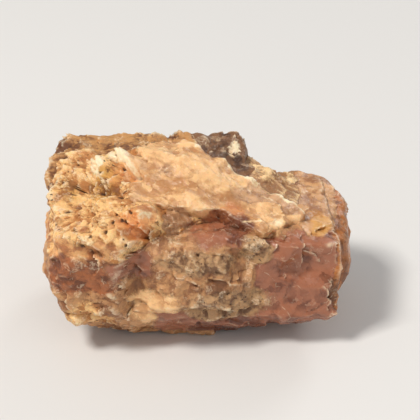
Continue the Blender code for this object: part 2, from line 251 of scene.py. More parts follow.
stone = {
    "heart": (0.0, 0.0, 9.0),  # every block holds this point
    "cells": (174, 112, 98),  # grid cells along X, Y and Z
    "edgeSharpness": 36.0,  # a higher power leaves sharper edges between two faces
    "zoneBlend": 0.012,  # how softly one block's finish passes into the next one's
    "zoneWander": 0.8,  # how far the borders of the finishes wander
    "streakWay": (0.813, -0.519, -0.263),  # the slab's crest runs this way
    "levelWay": (1.0, 0.1, -0.15),  # the flakes on the back rim lie this way
    "uprightWay": (0.1, 0.05, 1.0),  # the right end is grooved this way
    "foldAcross": (0.94, -0.33, 0.0),  # across the thin folds between the two white tips
    "foldSpacing": 0.6,
    "pitWay": (0.6, -0.6, 0.3),  # the pits are drawn out this way
    "bends": ((9.0, 0.4, 11), (2.6, 0.2, 31)),  # size, strength and seed of the noise that bends the edges
    "facetStretch": (0.8, 1.0, 1.25),
    "facets": ((5.2, 0.34, 101, 0.8), (2.4, 0.17, 131, 0.9), (1.1, 0.07, 161, 1.0)),
    "glassSmoothing": 0.8,  # the share of the facets that the glassy faces and the right end lose
    "hollowRounds": 4,  # rounds of smoothing that a hollow is measured against
    "hollowGain": 2.5,
    "sharpAngle": 38.0,  # degrees; sharper edges are shaded as edges
}


def unit(direction):
    # the direction divided by its own length
    vector = np.array(direction, float)
    return vector / np.linalg.norm(vector)


def latticeRandom(cell, seed):
    # one number from 0 to 1 for each whole-number cell, by mixing its bits
    mixed = cell[..., 0] * 374761393 + cell[..., 1] * 668265263
    mixed = mixed + cell[..., 2] * 1442695041 + seed * 1274126177
    mixed = ((mixed ^ (mixed >> 13)) * 1103515245) & 0x7FFFFFFF
    mixed = ((mixed ^ (mixed >> 15)) * 12820163) & 0x7FFFFFFF
    return ((mixed ^ (mixed >> 14)) & 0xFFFFF) / float(0xFFFFF)


def smoothNoise(points, size, seed):
    # random numbers at the corners of cells, blended by 6t^5 - 15t^4 + 10t^3, from -1 to 1
    scaled = points / size
    low = np.floor(scaled).astype(np.int64)
    part = scaled - low
    part = part * part * part * (part * (part * 6 - 15) + 10)
    total = np.zeros(len(points))
    for corner in np.ndindex(2, 2, 2):
        share = np.prod(np.where(corner, part, 1 - part), axis=1)
        total += share * latticeRandom(low + corner, seed)
    return total * 2 - 1


def layeredNoise(points, size, seed, layers):
    # each layer is half as large and half as strong as the one before
    total = np.zeros(len(points))
    for layer in range(layers):
        total += smoothNoise(points, size / 2**layer, seed + layer) / 2**layer
    return total


def warped(points, size, seed, amount):
    # the points moved by noise, so that a pattern on them loses its straight edges
    shift = [layeredNoise(points, size, seed + 10 * i, 2) for i in range(3)]
    return points + amount * np.stack(shift, axis=1)


def creases(points, size, seed, width):
    # e^-(noise / width)^2: thin winding lines where the noise crosses nought
    return np.exp(-((smoothNoise(points, size, seed) / width) ** 2))


def shards(points, size, seed, tilt, crispness=22):
    # every cell is a tilted facet, and the nearest cells share a point by e^(-crispness distance)
    scaled = points / size
    low = np.floor(scaled).astype(np.int64)
    total = np.zeros(len(points))
    weight = np.zeros(len(points))
    for step in np.ndindex(3, 3, 3):
        cell = low + np.array(step) - 1
        middle = cell + np.stack([latticeRandom(cell, seed + i) for i in range(3)], axis=1)
        away = scaled - middle
        lean = np.stack([latticeRandom(cell, seed + 3 + i) - 0.5 for i in range(3)], axis=1)
        height = latticeRandom(cell, seed + 6) - 0.5 + tilt * (lean * away).sum(axis=1)
        share = np.exp(-crispness * np.linalg.norm(away, axis=1))
        total += share * height
        weight += share
    return 2 * total / weight


def scatteredPits(points, size, seed, share, radius):
    # e^-(distance / radius)^4 round the chosen share of the random spots, one spot in each cell
    scaled = points / size
    low = np.floor(scaled).astype(np.int64)
    deepest = np.zeros(len(points))
    for step in np.ndindex(3, 3, 3):
        cell = low + np.array(step) - 1
        middle = cell + np.stack([latticeRandom(cell, seed + i) for i in range(3)], axis=1)
        away = np.linalg.norm(scaled - middle, axis=1) * size / radius
        chosen = latticeRandom(cell, seed + 7) < share
        deepest = np.maximum(deepest, np.where(chosen, np.exp(-(away**4)), 0.0))
    return deepest


def drawnOut(points, direction, factor):
    # shortens the points' distance along a direction, so that a pattern on them is drawn out that way
    line = unit(direction)
    return points - (1 - factor) * (points @ line)[:, None] * line


def terraces(height, step, edge):
    # height turned into flat steps, each with a short slope that takes up the share `edge`
    level = np.floor(height / step)
    part = np.clip((height / step - level - (1 - edge)) / edge, 0, 1)
    return step * (level + part * part * (3 - 2 * part))


def smoothStep(value, low, high):
    # 3t^2 - 2t^3, where t goes from 0 at low to 1 at high
    part = np.clip((value - low) / (high - low), 0, 1)
    return part * part * (3 - 2 * part)


def blockReach(points, faces, proud):
    # (sum over faces of (point . normal / distance)^power)^(1/power): 1 on the block's surface
    total = np.zeros(len(points))
    for place, direction in faces.values():
        normal = unit(direction)
        distance = normal @ (np.array(place, float) - stone["heart"]) + proud
        total += np.maximum(points @ normal / distance, 0) ** stone["edgeSharpness"]
    return total ** (1 / stone["edgeSharpness"])


def allReaches(points, proud):
    # each block's own reach, by its name
    return {name: blockReach(points, faces, proud) for name, faces in blockFaces.items()}


def stoneReach(points, proud):
    # the outermost block counts, and the hull bounds them all
    union = np.min(list(allReaches(points, proud).values()), axis=0)
    return np.maximum(union, blockReach(points, hullFaces, proud))


def bent(points):
    # the points moved about by a broad and a close noise, which makes straight edges wander
    moved = points
    for size, strength, seed in stone["bends"]:
        shift = np.stack([layeredNoise(points, size, seed + i, 2) for i in range(3)], axis=1)
        moved = moved + strength * shift
    return moved


def shardRelief(points):
    # facets in three sizes, each with its height, seed and tilt, which break up the blocks' flat faces
    stretched = points * np.array(stone["facetStretch"])
    total = np.zeros(len(points))
    for size, height, seed, tilt in stone["facets"]:
        total += height * shards(stretched, size, seed, tilt)
    return total


def spotRelief(points):
    # height times e^-(distance from the spot's own line out of the heart)^4
    total = np.zeros(len(points))
    for sign, spots in ((1, lumps), (-1, pits)):
        for place, reach, height in spots.values():
            line = unit(np.array(place) - stone["heart"])
            along = np.maximum(points @ line, 0)
            away = np.linalg.norm(points - along[:, None] * line, axis=1) / reach
            total += sign * height * np.exp(-(away**4))
    return total


def fitted(points, low, high):
    # the points stretched a little to the solid's box, and cut flat at the base
    size = np.array(cadHigh - cadLow) / mm
    middle = (low + high) / 2
    placed = points.copy()
    placed[:, :2] = (points[:, :2] - middle[:2]) * size[:2] / (high - low)[:2]
    placed[:, 2] = np.maximum(points[:, 2], 0) * size[2] / high[2]
    return placed


def cuboidGrid(cells):
    # each face is a grid of two whole numbers u and v, with the third held at 0 or at its end;
    # points that two faces share become one, so the seams are closed
    corners = []
    for axis in range(3):
        first = (axis + 1) % 3
        second = (axis + 2) % 3
        steps = np.meshgrid(np.arange(cells[first] + 1), np.arange(cells[second] + 1), indexing="ij")
        for end in (0, cells[axis]):
            spots = np.empty(steps[0].shape + (3,), np.int64)
            spots[..., first] = steps[0]
            spots[..., second] = steps[1]
            spots[..., axis] = end
            quads = np.stack([spots[:-1, :-1], spots[1:, :-1], spots[1:, 1:], spots[:-1, 1:]], axis=2)
            if end == 0:
                quads = quads[:, :, ::-1]
            corners.append(quads.reshape(-1, 3))
    corners = np.concatenate(corners)
    code = (corners[:, 0] * (cells[1] + 1) + corners[:, 1]) * (cells[2] + 1) + corners[:, 2]
    _, kept, numbers = np.unique(code, return_index=True, return_inverse=True)
    return corners[kept] / np.array(cells) - 0.5, numbers.reshape(-1, 4)


# Where a finish lies on the stone besides on its own blocks: finish, place, reach each way, strength
patches = {
    "lowerLeft": ("peach", (-13.4, -9.4, 14.6), (5.5, 3.0, 2.2), 1.0),
    # the red-brown low on the left front is partly the stone's own colour and partly painted shade
    "lowBrownAndPaintedShade": ("brownAndPaintedShade", (-13.0, -10.2, 11.6), (6.4, 3.0, 2.6), 1.0),
    "leftEnd": ("peach", (-17.4, -2.0, 10.0), (2.0, 6.0, 4.0), 0.9),
    "leftGlass": ("glass", (-17.0, 5.0, 6.6), (3.0, 4.0, 3.4), 1.0),
    "maroonPatch": ("glass", (-7.2, -9.8, 12.4), (3.2, 2.6, 2.2), 1.0),
    "pinkRecess": ("glass", (3.0, -6.2, 15.1), (4.3, 3.4, 1.7), 1.0),
    "mauveFront": ("glass", (11.2, -6.8, 12.8), (3.4, 3.0, 2.8), 1.0),
    "mauveLow": ("glass", (13.0, -6.8, 7.0), (4.0, 3.0, 4.0), 1.0),
    "greySpeckle": ("speck", (0.4, -9.4, 12.5), (5.2, 2.2, 1.7), 1.0),
    "rightSpeckle": ("speck", (6.8, -8.0, 13.2), (1.9, 2.0, 1.8), 1.0),
    "lowSpeckle": ("speck", (3.0, -9.2, 6.4), (6.0, 3.0, 2.4), 0.9),
    "lowCream": ("cream", (-5.0, -9.6, 7.0), (4.0, 3.0, 2.6), 0.9),
    "lowCrust": ("crust", (-12.5, -8.6, 5.4), (4.2, 4.0, 2.8), 0.9),
    "greyRecess": ("smoke", (3.3, 4.9, 16.7), (3.7, 2.6, 2.6), 1.0),
    "slabTan": ("tan", (7.4, -0.6, 16.4), (4.4, 1.9, 1.8), 1.0),
    "lobeTan": ("tan", (10.8, -1.6, 15.2), (2.2, 1.3, 1.2), 0.9),
    "slabDull": ("tan", (-3.4, 0.6, 18.6), (1.8, 1.4, 1.2), 0.55),
    "middleTan": ("tan", (-2.6, -6.2, 15.8), (3.0, 2.4, 1.4), 1.0),
    "knobPeach": ("peach", (-6.2, -7.3, 18.0), (1.8, 1.8, 1.5), 1.0),
    "lowSmoke": ("smoke", (9.0, -7.8, 8.0), (3.0, 2.4, 2.0), 0.8),
    "backCream": ("cream", (-8.0, 10.0, 11.4), (5.0, 3.0, 3.6), 1.0),
    "backCrust": ("crust", (-13.6, 7.6, 5.4), (5.0, 4.0, 3.4), 0.9),
    "backGlass": ("glass", (1.6, 9.2, 8.8), (4.2, 3.0, 4.4), 1.0),
    "backSmoke": ("smoke", (4.4, 8.8, 13.4), (3.2, 2.6, 2.4), 1.0),
    "backFlake": ("flake", (11.6, 8.6, 10.8), (4.0, 3.4, 2.6), 0.9),
    "backSpeckle": ("speck", (9.6, 9.6, 4.8), (5.0, 3.0, 2.8), 0.9),
    "orangeKnob": ("rust", (-7.4, -8.2, 16.6), (2.2, 2.2, 1.9), 0.8),
    "forkStain": ("rust", (-8.6, -0.4, 18.8), (1.6, 2.0, 1.6), 0.7),
    "blush": ("rust", (4.0, -3.6, 16.3), (1.7, 1.7, 1.4), 0.7),
    "recessBlush": ("rust", (1.8, -5.4, 15.3), (3.0, 2.2, 1.2), 0.35),
    "backStain": ("rust", (-3.0, 9.6, 6.6), (2.6, 2.6, 2.2), 0.5),
    "foldStain": ("ochre", (-10.4, -2.0, 18.4), (1.9, 3.4, 1.8), 1.0),
    "cornerStain": ("ochre", (-15.0, -2.6, 17.6), (2.6, 3.2, 1.6), 0.6),
    "leftTip": ("pale", (-11.6, 1.0, 19.4), (0.9, 1.2, 1.0), 1.0),
    "crestTip": ("pale", (-8.9, 1.9, 20.0), (1.3, 1.1, 0.9), 1.0),
    "foldTip": ("pale", (-9.0, -2.2, 18.6), (1.0, 0.5, 0.6), 0.9),
    "bulgePale": ("pale", (-2.4, -8.2, 14.4), (1.8, 1.6, 0.8), 0.45),
    # a painted highlight: the top of the orange knob is painted paler, as if lit
    "knobPaintedHighlight": ("pale", (-6.1, -7.4, 18.2), (0.9, 0.9, 0.8), 0.6),
    "peakCream": ("pale", (4.0, 7.4, 17.5), (1.6, 1.4, 0.8), 0.7),
    "lobeEdge": ("pale", (9.6, -4.6, 15.2), (2.6, 1.0, 0.6), 0.55),
    "amberBand": ("amber", (14.2, -2.9, 13.9), (1.3, 2.8, 1.6), 1.0),
}
# Sharp crystal tips and chips: place, reach and height of a small pyramid, with dips below nought
tips = {
    "leftTip": ((-11.7, 1.1, 19.4), 1.3, 0.55),
    "crestTip": ((-8.8, 2.2, 19.9), 1.7, 0.6),
    "foldTip": ((-9.0, -2.3, 18.6), 0.9, 0.35),
    "bulgeChip": ((-2.3, -8.3, 14.2), 1.3, 0.4),
    "peakShoulder": ((-0.4, 8.4, 17.8), 2.6, 0.65),
    "crestDip": ((1.8, 4.2, 19.0), 3.6, -0.7),
    "crestDipLow": ((4.6, 2.3, 18.0), 2.4, -0.35),
    "lobeChip": ((9.8, -4.8, 15.1), 1.2, 0.35),
    "rimChip": ((-14.0, 5.4, 19.0), 1.4, 0.35),
    "ledgeChip": ((8.4, 4.6, 15.6), 1.5, 0.35),
}

# Thin raised lines and short knobs: start, end, reach, height and how pale they are
ridges = {
    "crestRidge": ((-8.7, 1.8, 20.1), (-7.0, -0.1, 18.4), 0.5, 0.25, 0.8),
    "leftRidge": ((-11.8, 0.9, 19.6), (-10.8, -2.0, 18.1), 0.4, 0.25, 0.6),
    "foldRidge": ((-10.3, 0.8, 19.4), (-9.6, -1.6, 18.4), 0.3, 0.2, 0.3),
    "slabCrest": ((-0.2, 5.1, 19.2), (12.4, -2.9, 15.1), 0.4, 0.16, 0.8),
    "slabFold": ((2.7, 2.0, 18.0), (9.7, -2.5, 15.6), 0.25, 0.1, 0.5),
    "roundKnob": ((-6.2, -7.6, 17.8), (-6.0, -7.4, 18.1), 1.0, 0.45, 0.5),
    "orangeKnob": ((-7.3, -8.3, 17.0), (-6.8, -8.3, 17.0), 0.9, 0.35, 0.15),
    "lobeLip": ((5.6, -5.9, 16.0), (9.4, -5.2, 15.3), 0.4, 0.15, 0.6),
    "mauveLine": ((8.8, -6.8, 13.9), (12.4, -6.4, 14.0), 0.22, 0.12, 0.6),
    "mauveFlake": ((9.6, -7.2, 12.6), (10.9, -7.2, 11.4), 0.25, 0.12, 0.55),
    "recessLine": ((2.0, -5.4, 15.4), (3.2, -6.3, 14.9), 0.22, 0.1, 0.55),
}

# Where the first finish lies, the second one gives way
zoneOrder = (
    ("brownAndPaintedShade", "crust"), ("peach", "crust"), ("brownAndPaintedShade", "peach"), ("glass", "crust"), ("glass", "peach"),
    ("glass", "brownAndPaintedShade"), ("glass", "end"), ("end", "flake"), ("smoke", "flake"), ("speck", "glass"),
    ("tan", "crust"), ("tan", "cream"),
)


def spot(points, place, reach):
    # e^-(distance / reach)^3, with its own reach along each axis
    away = np.linalg.norm((points - np.array(place)) / np.array(reach), axis=1)
    return np.exp(-(away**3))


def lineAway(points, start, end):
    # the distance from each point to the nearest place on the line from start to end
    line = np.array(end) - np.array(start)
    along = np.clip((points - start) @ line / (line @ line), 0, 1)
    return np.linalg.norm(points - start - along[:, None] * line, axis=1)


# How the small shapes of the finishes are drawn out, and their heights and depths in millimetres
relief = {
    "drawnShare": 0.3,  # distances along the streaks are cut to this share, which draws a pattern out
    "uprightShare": 0.12,
    "levelShare": 0.35,
    "foldHeight": 0.17,
    "pitDepth": 0.45,
    "creaseDepth": 0.15,
    "creaseSpacing": 2.1,
    "creaseWidth": 0.07,
    "bandDepth": 0.15,  # the groove where the band at the right end starts
    "smallPit": 1.5,  # named pits with a smaller reach than this gather dirt
    "pitSpacing": 1.1,  # one small pit at most in each cell of this size
    "pitShare": 0.6,  # the share of the cells that have one
    "pitRadius": 0.28,
    "pitStretch": 0.8,
    "creaseDirt": 0.5,  # how much dirt lies in the creases, in the groove and between the folds
    "bandDirt": 0.6,
    "foldDirt": 0.45,
}


def finishZones(points, reaches):
    # each block's share is e^(-(its reach - the least reach) / blend), and patches are laid on by max;
    # a finish fades between two places along an axis, given in millimetres
    least = np.min(list(reaches.values()), axis=0)
    shares = {name: np.exp(-(reach - least) / stone["zoneBlend"]) for name, reach in reaches.items()}
    whole = sum(shares.values())
    shares = {name: share / whole for name, share in shares.items()}
    moved = warped(points, 2.6, 301, stone["zoneWander"])
    x, y, z = moved.T
    front = smoothStep(-y, 2.0, 5.0)
    behind = smoothStep(y, 3.6, 5.0)
    rim = shares["backRim"] + shares["leftBlock"] * behind
    ledgeTop = shares["ledge"] * smoothStep(z, 13.2, 14.2)
    endTop = smoothStep(x, 11.0, 12.2) * smoothStep(z, 11.4, 12.4)
    zones = {
        "crust": shares["leftBlock"] * smoothStep(z, 12.0, 14.5) * (1 - behind),
        "flaky": rim * smoothStep(z, 13.0, 15.5),
        "cream": shares["slab"] + shares["slabLobe"],
        "glass": front * shares["core"] * smoothStep(x, -6, -3),
        "smoke": shares["peak"],
        "end": np.maximum(smoothStep(x, 14.8, 15.6), endTop),
        "band": smoothStep(points[:, 0] - 0.06 * points[:, 1], 15.9, 16.3),
        "flake": ledgeTop * smoothStep(-x, -12.4, -11.0) * smoothStep(y, -3.0, -2.0),
    }
    for name in ("tan", "peach", "brownAndPaintedShade", "speck", "ochre", "rust", "pale", "amber"):
        zones[name] = np.zeros(len(points))
    for name, place, reach, strength in patches.values():
        zones[name] = np.maximum(zones[name], strength * spot(moved, place, reach))
    for start, end, reach, _, paleness in ridges.values():
        line = paleness * np.exp(-((lineAway(points, start, end) / reach) ** 2))
        zones["pale"] = np.maximum(zones["pale"], line)
    for over, under in zoneOrder:
        zones[under] = zones[under] * (1 - smoothStep(zones[over], 0.3, 0.7))
    return {name: np.clip(values, 0, 1) for name, values in zones.items()}


def brokenFaces(points, size, seed, slope):
    # crisp facets `size` across that lean either way by up to `slope`, with steps between them
    return size * slope / 3 * shards(points, size, seed, 3.0, 45)


def flakes(points, size, seed, height, step):
    # layered noise cut into flat steps: thin plates with ragged edges
    return terraces(height * layeredNoise(points, size, seed, 3), step, 0.15)


def fineRelief(points, zones):
    # what each finish adds to the surface in millimetres, and where dirt gathers
    loose = warped(points, 1.8, 321, 0.35)
    drawn = drawnOut(loose, stone["streakWay"], relief["drawnShare"])
    upright = drawnOut(points, stone["uprightWay"], relief["uprightShare"])
    level = drawnOut(loose, stone["levelWay"], relief["levelShare"])
    large = brokenFaces(loose, 1.9, 401, 0.15)
    small = brokenFaces(loose, 0.8, 402, 0.13)
    streaked = flakes(drawn, 2.4, 403, 0.3, 0.1)
    grooves = 0.06 * smoothNoise(upright, 0.85, 404) + 0.04 * smoothNoise(upright, 0.42, 405)
    # flakes have a size, seed, height and step, and broken faces a size, seed and slope
    shapes = {
        "crust": flakes(loose, 2.2, 411, 0.3, 0.12) + large + small,
        "flaky": flakes(level, 2.0, 412, 0.4, 0.13) + brokenFaces(level, 0.9, 413, 0.14),
        "cream": streaked + brokenFaces(drawn, 1.5, 414, 0.1) + 0.2 * small,
        "tan": streaked + 0.3 * small,
        "peach": large + 0.5 * small,
        "brownAndPaintedShade": 0.8 * large + 0.6 * small,
        "glass": brokenFaces(loose, 2.8, 415, 0.12) + 0.15 * small,
        "end": grooves,
        "speck": 0.5 * large + small + 0.06 * smoothNoise(loose, 0.5, 416),
        "flake": flakes(drawn, 1.3, 419, 0.45, 0.16) + 0.4 * small,
        "smoke": brokenFaces(upright, 1.7, 417, 0.14) + 0.3 * small,
    }
    plain = flakes(drawn, 3.6, 418, 0.4, 0.16) + large + 0.5 * small
    total = np.zeros(len(points))
    covered = np.zeros(len(points))
    for name, shape in shapes.items():
        total += zones[name] * shape
        covered += zones[name]
    total = total / np.maximum(covered, 1) + np.clip(1 - covered, 0, 1) * plain
    turns = loose @ unit(stone["foldAcross"]) / stone["foldSpacing"]
    folds = zones["ochre"] * np.sin(2 * np.pi * turns)
    total += relief["foldHeight"] * folds
    for place, reach, height in tips.values():
        away = np.abs(points - (np.array(place) - stone["heart"])).sum(axis=1) / reach
        total += height * np.maximum(1 - away, 0)
    for start, end, reach, height, _ in ridges.values():
        away = lineAway(loose + stone["heart"], start, end) / reach
        total += height * np.maximum(1 - away, 0)
    smooth = np.clip(1.4 * (zones["end"] + zones["glass"]), 0, 1)
    total -= stone["glassSmoothing"] * smooth * shardRelief(points)
    edge = 4 * zones["band"] * (1 - zones["band"])
    rough = np.clip(zones["crust"] + 0.5 * (zones["speck"] + zones["flaky"] + zones["peach"]), 0, 1)
    spread = drawnOut(loose, stone["pitWay"], relief["pitStretch"])
    holes = scatteredPits(spread, relief["pitSpacing"], 421, relief["pitShare"], relief["pitRadius"])
    pitted = rough * holes
    for place, reach, _ in pits.values():
        if reach < relief["smallPit"]:
            pitted = np.maximum(pitted, spot(loose, np.array(place) - stone["heart"], (0.5 * reach,) * 3))
    winding = rough * creases(loose, relief["creaseSpacing"], 431, relief["creaseWidth"])
    creaseDirt = relief["creaseDirt"] * winding
    bandDirt = relief["bandDirt"] * edge
    dirt = np.max([pitted, creaseDirt, bandDirt, -relief["foldDirt"] * folds], axis=0)
    total -= relief["pitDepth"] * pitted + relief["creaseDepth"] * winding + relief["bandDepth"] * edge
    return total, dirt


def stonePoints(directions):
    # the coarse surface is found first, then the finishes' zones on it, then the surface with their relief
    start = directions / stoneReach(directions, 0.0)[:, None]
    for _ in range(2):
        proud = shardRelief(start) + spotRelief(start)
        start = start / stoneReach(bent(start), proud)[:, None]
    raw = start + stone["heart"]
    low = raw.min(axis=0)
    high = raw.max(axis=0)
    reaches = allReaches(bent(start), proud)
    zones = finishZones(fitted(raw, low, high), reaches)
    raised, dirt = fineRelief(start, zones)
    start = start / stoneReach(bent(start), proud + raised)[:, None]
    raw = start + stone["heart"]
    zones["dirt"] = dirt
    zones["raised"] = 0.5 + raised
    return fitted(raw, low, high), zones


def unitRows(vectors):
    # each row divided by its own length
    return vectors / np.linalg.norm(vectors, axis=1)[:, None]


def pointNormals(points, faces):
    # the sum of the cross products of the diagonals of the faces round each point
    corners = points[faces]
    facing = np.cross(corners[:, 2] - corners[:, 0], corners[:, 3] - corners[:, 1])
    columns = [np.bincount(faces.ravel(), np.repeat(facing[:, i], 4), len(points)) for i in range(3)]
    return unitRows(np.stack(columns, axis=1))


def hollowDepth(points, faces, rounds):
    # how far each point lies under the mean of its neighbours, taken a few rounds, in millimetres
    edges = np.concatenate([faces[:, [0, 1]], faces[:, [1, 2]], faces[:, [2, 3]], faces[:, [3, 0]]])
    count = np.bincount(edges.ravel(), minlength=len(points))
    smooth = points.copy()
    for _ in range(rounds):
        columns = []
        for i in range(3):
            summed = np.bincount(edges[:, 0], smooth[edges[:, 1], i], len(points))
            summed += np.bincount(edges[:, 1], smooth[edges[:, 0], i], len(points))
            columns.append(summed / count)
        smooth = np.stack(columns, axis=1)
    return ((smooth - points) * pointNormals(points, faces)).sum(axis=1)


def setAttribute(mesh, name, values):
    layer = mesh.attributes.new(name, "FLOAT", "POINT")
    layer.data.foreach_set("value", np.clip(values, 0, 1).astype(np.float32))


def makeStone():
    # a divided cuboid gives the directions, and the stone's surface is found along each of them
    grid, faces = cuboidGrid(stone["cells"])
    size = np.array(cadHigh - cadLow) / mm
    points, zones = stonePoints(unitRows(grid * size))
    mesh = bpy.data.meshes.new("moonstoneRough")
    mesh.from_pydata((points * mm).tolist(), [], faces.tolist())
    mesh.update()
    for name, values in zones.items():
        setAttribute(mesh, name, values)
    depth = hollowDepth(points, faces, stone["hollowRounds"])
    setAttribute(mesh, "hollow", 0.5 + stone["hollowGain"] * depth)
    mesh.shade_smooth()
    mesh.set_sharp_from_angle(angle=math.radians(stone["sharpAngle"]))
    print("stone:", len(points), "points,", 2 * len(faces), "triangles")
    return addObject("moonstoneRough", mesh)


def screenColour(red, green, blue):
    # 0 to 255 as a screen shows it, turned into the linear colour that a shader takes
    parts = np.array([red, green, blue]) / 255
    linear = np.where(parts <= 0.04045, parts / 12.92, ((parts + 0.055) / 1.055) ** 2.4)
    return (*linear.tolist(), 1.0)


# Patterns of light and deep shade: which way it is drawn out and to what share, scale, detail,
# roughness and distortion
patternLooks = {
    "mottle": (None, 1.0, 0.9, 8, 0.68, 0.4),
    "cloud": (None, 1.0, 0.34, 7, 0.62, 0.6),
    "streaky": ("streakWay", 0.3, 1.3, 7, 0.68, 0.4),
    "level": ("levelWay", 0.4, 1.4, 7, 0.7, 0.4),
    "upright": ("uprightWay", 0.08, 0.7, 6, 0.66, 0.1),
}
# Each finish: light shade, deep shade, roughness, how strong its grain is, its pattern and how soft its
# border is; they are laid on in this order, over the body
bodyFinish = ((206, 152, 102), (150, 98, 60), 0.42, 0.8, "mottle")
finishes = {
    "cream": ((245, 197, 141), (193, 138, 89), 0.32, 0.35, "veined", 0.2),
    "tan": ((212, 166, 124), (166, 120, 84), 0.3, 0.4, "veined", 0.4),
    "smoke": ((136, 96, 65), (79, 50, 32), 0.24, 0.5, "cloud", 0.15),
    "glass": ((168, 107, 78), (116, 65, 44), 0.18, 0.2, "cloud", 0.35),
    "end": ((213, 162, 113), (160, 108, 70), 0.22, 0.2, "upright", 0.3),
    "peach": ((238, 179, 117), (189, 121, 71), 0.4, 0.7, "mottle", 0.4),
    # partly the stone's own red-brown, partly painted shade
    "brownAndPaintedShade": ((172, 102, 58), (112, 58, 28), 0.38, 0.7, "mottle", 0.4),
    "speck": ((203, 159, 113), (122, 84, 54), 0.38, 1.0, "mottle", 0.35),
    "flake": ((250, 211, 156), (160, 114, 74), 0.34, 0.6, "streaky", 0.15),
    "crust": ((254, 205, 140), (194, 128, 68), 0.52, 1.0, "mottle", 0.3),
    "flaky": ((201, 146, 86), (112, 65, 32), 0.5, 0.9, "level", 0.3),
    "ochre": ((227, 169, 89), (148, 92, 37), 0.5, 0.8, "mottle", 0.4),
    "band": ((185, 115, 58), (118, 67, 26), 0.2, 0.2, "upright", 0.08),
    "amber": ((217, 161, 93), (177, 117, 54), 0.24, 0.2, "upright", 0.25),
    "rust": ((238, 164, 100), (206, 126, 70), 0.4, 0.6, "cloud", 0.7),
    "pale": ((255, 235, 198), (238, 203, 155), 0.3, 0.4, "mottle", 0.3),
}
surface = {
    "wanderNoise": (1.2, 3, 0.6),  # scale, detail and roughness of the noise that bends the cells' edges
    "raggedNoise": (2.4, 7, 0.72),  # the same for the noise that frays borders
    "grainNoise": (4.2, 5, 0.65),
    "borderLevel": 0.48,  # a finish's border runs where its amount is this high
    "edgeNoise": 0.7,  # how ragged the border between two finishes is
    "facetShare": 0.2,  # how much a facet's own shade counts beside the pattern
    "lowShare": 0.5,  # how much deeper the shade of low places is
    "darkFleckAndHollowShade": (112, 70, 42),  # dark flecks, and the painted shade in the hollows
    "dirtShade": (62, 40, 26),  # the bottoms of the pits
    "paleMarkAndEdgeHighlight": (255, 234, 200),  # pale fracture lines and flecks, and the painted highlight on thin edges and crests
    "facetSize": 0.9,  # millimetres
    "flawSize": 3.6,  # how far apart the thin pale fracture lines are, in millimetres
    "flawWidth": 0.016,
    "flawStrength": 0.45,
    "flawWander": 0.3,
    "paleLeast": 0.05,  # how strong the pale flecks are on a smooth finish
    "paleGrainy": 0.4,  # and how much stronger on a grainy one
    "darkGrainy": 0.5,
    "hollowRagged": 0.25,
    "dirtRagged": 0.3,
    "dirtDulls": 0.2,  # roughness that dirt adds
    "toneShare": 0.8,
    "poreSize": 0.6,  # how far apart the small dark pores of the crust are
    "poreWidth": 0.24,
    "bumpHeight": 0.00018,
    "bumpStrength": 0.8,
    "bumpShares": {"mottle": 1.2, "grain": 0.8, "facets": 0.4, "pores": -1.0},
    "bumpLeast": 0.15,  # the bump of a finish without grain
    "clearRoughness": 0.35,  # finishes smoother than this are clear enough to show fracture lines
    "refraction": 1.53,
    "subsurface": 0.2,
    "subsurfaceScale": 0.0012,
    "subsurfaceRadius": (1.0, 0.5, 0.28),
}
# Ramps: between the first two values the result goes from 0 to 1, or from the third to the fourth
ramps = {
    "shade": (0.38, 0.68),  # from the light shade of a finish to its deep one
    "amount": (0.02, 0.2),  # no finish reaches where its amount is almost nought
    "flawBreaks": (0.5, 0.6),
    "paleFleck": (0.86, 0.9),
    "paleGrain": (0.4, 0.6),
    "darkFleck": (0.12, 0.08),
    "darkGrain": (0.42, 0.58),
    # hollow: the painted shade in the hollows
    "hollow": (0.6, 0.95, 0.0, 0.65),
    # crest: the painted highlight on thin edges and crests
    "crest": (0.38, 0.1, 0.0, 0.5),
    "poreBreaks": (0.46, 0.56),
    "poreGrainy": (0.8, 1.0),  # only the grainiest finishes have pores
    "dirt": (0.35, 0.75, 0.0, 0.85),
    "tone": (0.3, 0.7, 0.86, 1.1),
    "polish": (0.0, 1.0, -0.1, 0.12),  # added to a facet's roughness
}


def addNode(tree, kind, **settings):
    node = tree.nodes.new(kind)
    for name, value in settings.items():
        setattr(node, name, value)
    return node


def connect(tree, socket, value):
    # a socket takes a number, a colour or another node's output
    if isinstance(value, (int, float, tuple)):
        socket.default_value = value
    else:
        tree.links.new(value, socket)


def noiseTexture(tree, where, scale, detail, roughness=0.6, distortion=0.0, output="Fac"):
    node = addNode(tree, "ShaderNodeTexNoise")
    node.inputs["Scale"].default_value = scale
    node.inputs["Detail"].default_value = detail
    node.inputs["Roughness"].default_value = roughness
    node.inputs["Distortion"].default_value = distortion
    tree.links.new(where, node.inputs["Vector"])
    return node.outputs[output]


def remap(tree, value, low, high, toLow=0.0, toHigh=1.0):
    node = addNode(tree, "ShaderNodeMapRange", interpolation_type="SMOOTHSTEP")
    tree.links.new(value, node.inputs["Value"])
    for socket, number in (("From Min", low), ("From Max", high), ("To Min", toLow), ("To Max", toHigh)):
        node.inputs[socket].default_value = number
    return node.outputs["Result"]


def calculate(tree, operation, first, second):
    node = addNode(tree, "ShaderNodeMath", operation=operation)
    connect(tree, node.inputs[0], first)
    connect(tree, node.inputs[1], second)
    return node.outputs["Value"]


def added(tree, *values):
    total = values[0]
    for value in values[1:]:
        total = calculate(tree, "ADD", total, value)
    return total


def weighted(tree, value, weight):
    return calculate(tree, "MULTIPLY", value, weight)


def blendColours(tree, factor, first, second, mode="MIX"):
    node = addNode(tree, "ShaderNodeMix", data_type="RGBA", blend_type=mode)
    for socket, value in ((node.inputs[0], factor), (node.inputs[6], first), (node.inputs[7], second)):
        connect(tree, socket, value)
    return node.outputs[2]


